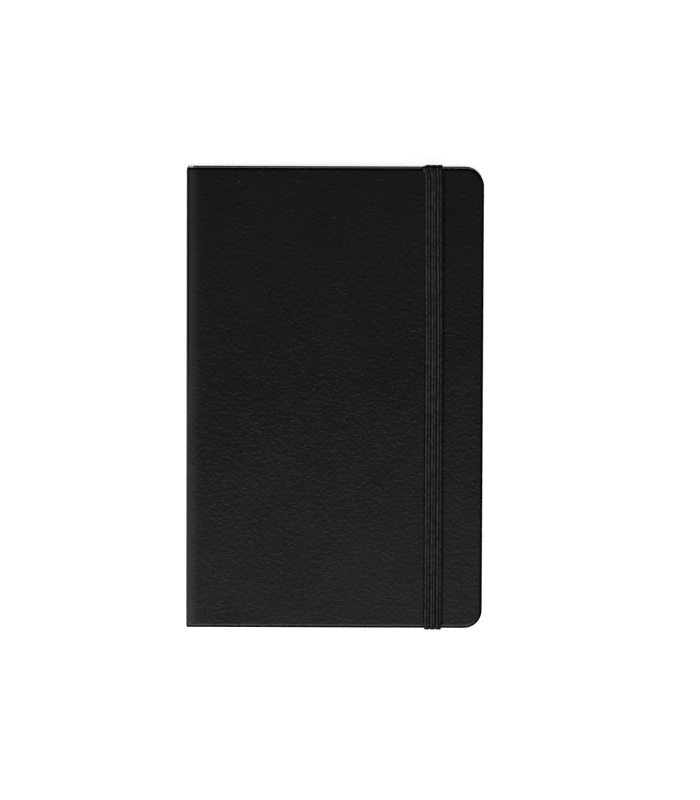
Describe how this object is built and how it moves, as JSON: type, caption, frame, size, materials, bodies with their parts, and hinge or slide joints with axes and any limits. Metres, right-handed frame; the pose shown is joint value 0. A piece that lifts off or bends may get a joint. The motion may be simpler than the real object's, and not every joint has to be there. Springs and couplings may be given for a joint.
{
  "type": "pocket notebook",
  "caption": "Hard-cover pocket notebook with sewn sections, a flat hinged spine and an elastic closure band.",
  "frame": {"origin": "middle of the back cover's outer face, on which the closed notebook lies", "axes": "+Z out of the front cover, +Y to the head of the pages, +X to the fore-edge, spine on the -X side"},
  "size_m": [0.09, 0.141, 0.0135],
  "materials": {
    "covering": "fine-grained black leather-look covering, satin",
    "board": "grey binding board",
    "endpaper": "ivory endpaper, matte",
    "paper": "ivory writing paper, matte",
    "lining": "open-weave binding cloth with dry glue",
    "thread": "waxed linen thread",
    "elastic": "black ribbed woven elastic"
  },
  "bodies": {
    "back_half": {"back_covering": "covering", "back_board": "board", "back_pastedown": "endpaper", "back_flyleaf": "endpaper", "section_07": "paper", "section_08": "paper", "section_09": "paper", "section_10": "paper", "section_11": "paper", "section_12": "paper", "sewing_thread_back": "thread", "band_anchor_head": "elastic", "band_anchor_tail": "elastic"},
    "spine": {"spine_covering": "covering", "spine_card": "board", "spine_lining": "lining", "back_joint_fold": "covering", "front_joint_fold": "covering"},
    "front_half": {"front_flyleaf": "endpaper", "section_01": "paper", "section_02": "paper", "section_03": "paper", "section_04": "paper", "section_05": "paper", "section_06": "paper", "sewing_thread_front": "thread"},
    "front_cover": {"front_covering": "covering", "front_board": "board", "front_pastedown": "endpaper"},
    "band_sides": {"band_side_head": "elastic", "band_side_tail": "elastic"},
    "band_front": {"band_front_run": "elastic"}
  },
  "joints": [
    {"name": "middle_opening", "type": "hinge", "parent": "back_half", "child": "spine", "pos_m": [-0.04515, 0, -0.00015], "axis": [0, -1, 0], "range_deg": [0, 90]},
    {"name": "front_half_fold", "type": "hinge", "parent": "spine", "child": "front_half", "pos_m": [-0.04515, 0, 0.01311], "axis": [0, -1, 0], "range_deg": [0, 90.5]},
    {"name": "front_cover_opening", "type": "hinge", "parent": "front_half", "child": "front_cover", "pos_m": [-0.04515, 0, 0.01311], "axis": [0, -1, 0], "range_deg": [0, 180]},
    {"name": "band_swing", "type": "hinge", "parent": "back_half", "child": "band_sides", "pos_m": [0.0405, 0, -0.007], "axis": [0, 1, 0], "range_deg": [0, 64], "stiffness_Nm_per_rad": 0.01, "deforming": ["band_side_head", "band_side_tail", "band_front_run"]},
    {"name": "band_slack", "type": "slide", "parent": "band_sides", "child": "band_front", "axis": [0, 0, -1], "range_m": [0, 0.0061]}
  ],
  "couplings": [
    {"joint": "front_half_fold", "follows": "middle_opening", "ratio": 1},
    {"joint": "band_slack", "follows": "middle_opening", "m_per_rad": 0.0038197}
  ]
}
